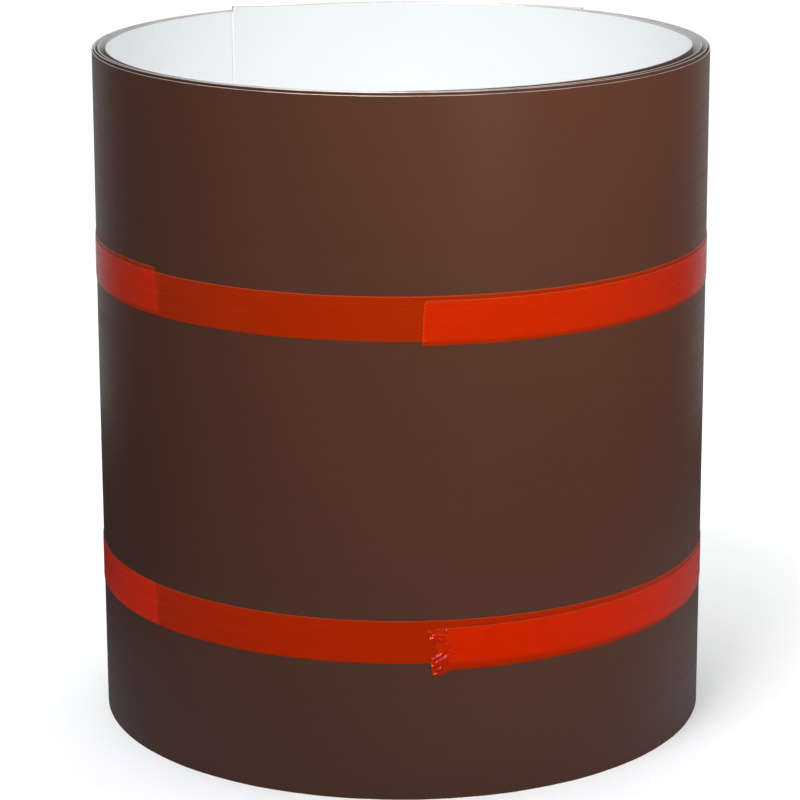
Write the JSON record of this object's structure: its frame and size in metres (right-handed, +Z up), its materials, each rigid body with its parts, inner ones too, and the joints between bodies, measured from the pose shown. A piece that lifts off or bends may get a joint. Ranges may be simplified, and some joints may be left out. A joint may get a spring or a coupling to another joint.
{
  "type": "painted metal flashing roll",
  "caption": "Standing roll of thin brown and white painted sheet metal, open through the middle, held shut by two bands of red tape.",
  "frame": {"origin": "centre of the roll's lower end, at the level that it stands on", "axes": "+Z up along the roll's axis, -Y towards the front, where both tapes end, +X to the right seen from the front"},
  "size_m": [0.2291, 0.2253, 0.256],
  "materials": {
    "aluminium": "bright sheared edge",
    "brown_paint": "satin baked enamel, brown",
    "white_paint": "satin baked enamel, white",
    "red_tape": "glossy translucent orange-red film"
  },
  "bodies": {
    "root": {"aluminium_strip": "aluminium", "brown_outer_coat": "brown_paint", "white_inner_coat": "white_paint", "upper_tape": "red_tape", "lower_tape": "red_tape"}
  },
  "joints": []
}
